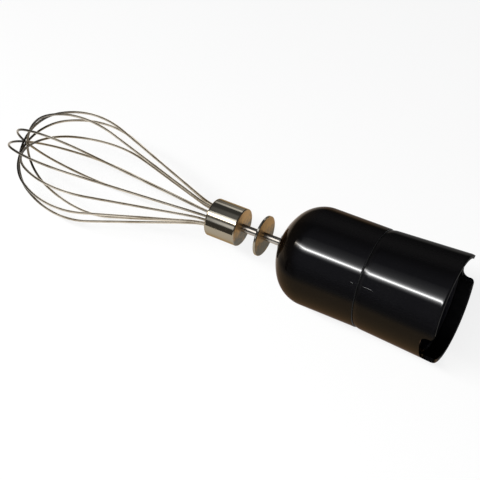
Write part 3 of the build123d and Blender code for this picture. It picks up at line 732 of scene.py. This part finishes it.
def add_panel(name, angles, place, width, radiance, lit, colour=WHITE):
    """A lamp along X that fills the band between two angles about the axis, and lights only some solids."""
    middle = math.radians(sum(angles) / 2.0)
    half = math.radians(abs(angles[1] - angles[0])) / 2.0
    height = 2.0 * panel_distance * math.tan(half)
    centre = place + Vector((0.0, math.cos(middle), math.sin(middle))) * panel_distance
    data = add_lamp(name, centre, X_AXIS, place, (width, height), radiance, colour)
    link_lamp(name, lit, "INCLUDE")
    return data


def lamp_place(data):
    """Turns on a lamp's nodes: its tree, and places across it from 0 to 1."""
    data.use_nodes = True
    tree = data.node_tree
    parametric = node(tree, "ShaderNodeNewGeometry").outputs["Parametric"]
    return tree, split(tree, parametric)


def set_strength(tree, strength):
    """Makes a lamp brighter or dimmer from place to place."""
    tree.links.new(strength, tree.nodes["Emission"].inputs["Strength"])


def edge_distance(tree, place):
    """How far a place is from the middle of a lamp, from 0 to 1 at the edge."""
    return distance_from(tree, times(tree, place, 2.0), 1.0)


def soft_edge(tree, place, start):
    """1 in the middle of a lamp, fading from a share of the way to 0 at its edge."""
    return spread(tree, edge_distance(tree, place), 1.0, 0.0, start, 1.0, smooth=True)


def fade_lamp(data, fade):
    """Makes a lamp dimmer towards its far long edge."""
    tree, place = lamp_place(data)
    set_strength(tree, maths(tree, "EXPONENT", times(tree, place["Y"], -fade)))


def soften_strip(data, falloff):
    """Makes a strip bright along its middle line, with soft skirts, soft ends and a dimmer first half."""
    tree, place = lamp_place(data)
    skirt = maths(tree, "EXPONENT", times(tree, edge_distance(tree, place["Y"]), -falloff))
    ends = soft_edge(tree, place["X"], key_soft_start)
    dimming = spread(tree, place["X"], key_dim_strength, 1.0, *key_dim_places)
    set_strength(tree, times(tree, times(tree, skirt, ends), dimming))


def soften_panel(data):
    """Makes a panel soft towards all its edges."""
    tree, place = lamp_place(data)
    across = soft_edge(tree, place["Y"], panel_soft_across)
    along = soft_edge(tree, place["X"], panel_soft_along)
    set_strength(tree, times(tree, across, along))


def add_key_strip(unlit):
    """The strip, which lights all but a few solids."""
    first, second = key_ends
    size = ((second - first).length, key_width)
    data = add_lamp("key_strip", (first + second) / 2.0, second - first, key_aim, size, key_radiance)
    soften_strip(data, key_falloff)
    link_lamp("key_strip", unlit, "EXCLUDE")


def add_lamps():
    """The strip, and the panels for the wires, the shells, the shaft, and the ferrule with the disc."""
    wires = [name for name in solids if name.startswith("whisk_wire")]
    shells = ["gearbox_dome", "coupling_sleeve"]
    add_key_strip(wires + ["whisk_shaft", "splash_disc"])
    for name, (angles, radiance) in wire_panels.items():
        soften_panel(add_panel(name, angles, wire_place, long_panel_width, radiance, wires))
    glow = add_panel("key_glow", glow_angles, glow_place, glow_width, glow_radiance, shells)
    fade_lamp(glow, glow_fade)
    shaft_panel = add_panel(
        "shaft_panel", shaft_angles, ferrule_place, long_panel_width, shaft_radiance, ["whisk_shaft"],
    )
    soften_panel(shaft_panel)
    for name, (angles, radiance) in ferrule_panels.items():
        soften_panel(add_panel(
            name, angles, ferrule_place, ferrule_panel_width, radiance,
            ["whisk_ferrule", "splash_disc"], ferrule_panel_colour,
        ))


# Bead and marks on the housing

def add_piece(name, shape, body, material):
    """Turns a bmesh into a smooth piece with one material, riding on a body."""
    bmesh.ops.recalc_face_normals(shape, faces=shape.faces)
    for face in shape.faces:
        face.smooth = True
    piece = add_shape(name, shape, material)
    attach(piece, body)


def on_circle(along, radius, angle):
    """A point at a place along the X axis, a radius from it and an angle about it."""
    return Vector((along, radius * math.cos(angle), radius * math.sin(angle)))


def add_seam_bead():
    """A low crowned ring that fills the groove of the joint between the shells."""
    shape = bmesh.new()
    first, last = bead_ends
    radius = shell_radius - bead_inset
    profile = []
    for step in range(bead_steps + 1):
        share = step / bead_steps
        crown = bead_depth * math.sqrt(1.0 - (2.0 * share - 1.0) ** 2)
        profile.append((first + (last - first) * share, radius - bead_depth + crown))
    rings = []
    for segment in range(ring_segments):
        angle = 2.0 * math.pi * segment / ring_segments
        rings.append([shape.verts.new(on_circle(seam_x + along, out, angle)) for along, out in profile])
    for number, ring in enumerate(rings):
        following = rings[(number + 1) % ring_segments]
        for place in range(len(ring)):
            beside = (place + 1) % len(ring)
            shape.faces.new((ring[place], following[place], following[beside], ring[beside]))
    add_piece("seam_bead", shape, "housing", seam_black())


def surface_of(carrier):
    """A solid's surface, for rays to meet."""
    mesh = solids[carrier].data
    corners = [corner.co for corner in mesh.vertices]
    return BVHTree.FromPolygons(corners, [face.vertices for face in mesh.polygons])


def surface_radius(surface, along, angle):
    """Outside radius of a shell at a place along the axis and an angle about it."""
    outward = on_circle(0.0, 1.0, angle)
    start = X_AXIS * along + outward * shell_radius * 2.0
    hit = surface.ray_cast(start, -outward)[0]
    return hit.yz.length


def add_mark(name, carrier, ends, material):
    """A low rounded rib along the axis, moulded on a shell."""
    surface = surface_of(carrier)
    shape = bmesh.new()
    steps, across = mark_steps
    rows = []
    for step in range(steps + 1):
        share = 2.0 * step / steps - 1.0
        along = seam_x + (ends[0] + ends[1]) / 2.0 + share * (ends[1] - ends[0]) / 2.0
        swell = (1.0 - share ** 4) ** 0.5
        row = []
        for place in range(across + 1):
            side = 2.0 * place / across - 1.0
            angle = math.radians(mark_angle) + side * swell * mark_width / 2.0 / shell_radius
            rise = (mark_height + mark_floor) * swell * math.sqrt(1.0 - side ** 2) - mark_floor
            out = surface_radius(surface, along, angle) + rise
            row.append(shape.verts.new(on_circle(along, out, angle)))
        rows.append(row)
    for row, following in zip(rows, rows[1:]):
        for place in range(across):
            shape.faces.new((row[place], following[place], following[place + 1], row[place + 1]))
    bmesh.ops.remove_doubles(shape, verts=shape.verts, dist=weld_distance)
    bmesh.ops.holes_fill(shape, edges=[edge for edge in shape.edges if edge.is_boundary])
    add_piece(name, shape, "housing", material)


def add_details(shell_material):
    """The bead in the seam, and one mark on each shell."""
    add_seam_bead()
    add_mark("sleeve_mark", "coupling_sleeve", long_mark_ends, shell_material)
    add_mark("dome_mark", "gearbox_dome", short_mark_ends, shell_material)


# Finishes for the solids: by the record's slots, and for the three polished solids by name

slot_finishes = {
    "black_shell": black_shell,
    "black_inner": black_inner,
    "gear_plastic": gear_plastic,
    "seal_rubber": seal_rubber,
    "bearing_bronze": bearing_bronze,
    "small_steel": small_steel,
    "plug_plastic": plug_plastic,
    "wire_steel": wire_steel,
}
node_finishes = {
    "whisk_ferrule": ferrule_steel,
    "splash_disc": disc_steel,
    "whisk_shaft": shaft_steel,
}


def dress_solids():
    """Gives every solid its own finish or its slot's, and returns the slots' materials."""
    made = {slot: make() for slot, make in slot_finishes.items()}
    for part in frame["record"]["subparts"]:
        name = part["node"]
        if name in node_finishes:
            finish = node_finishes[name]()
        else:
            finish = made[part["material_slot"]]
        solids[name].material_slots[0].material = finish
    return made


scene.view_settings.view_transform = "Standard"
materials = dress_solids()
add_camera()
add_floor()
add_card()
add_world()
add_lamps()
add_details(materials["black_shell"])
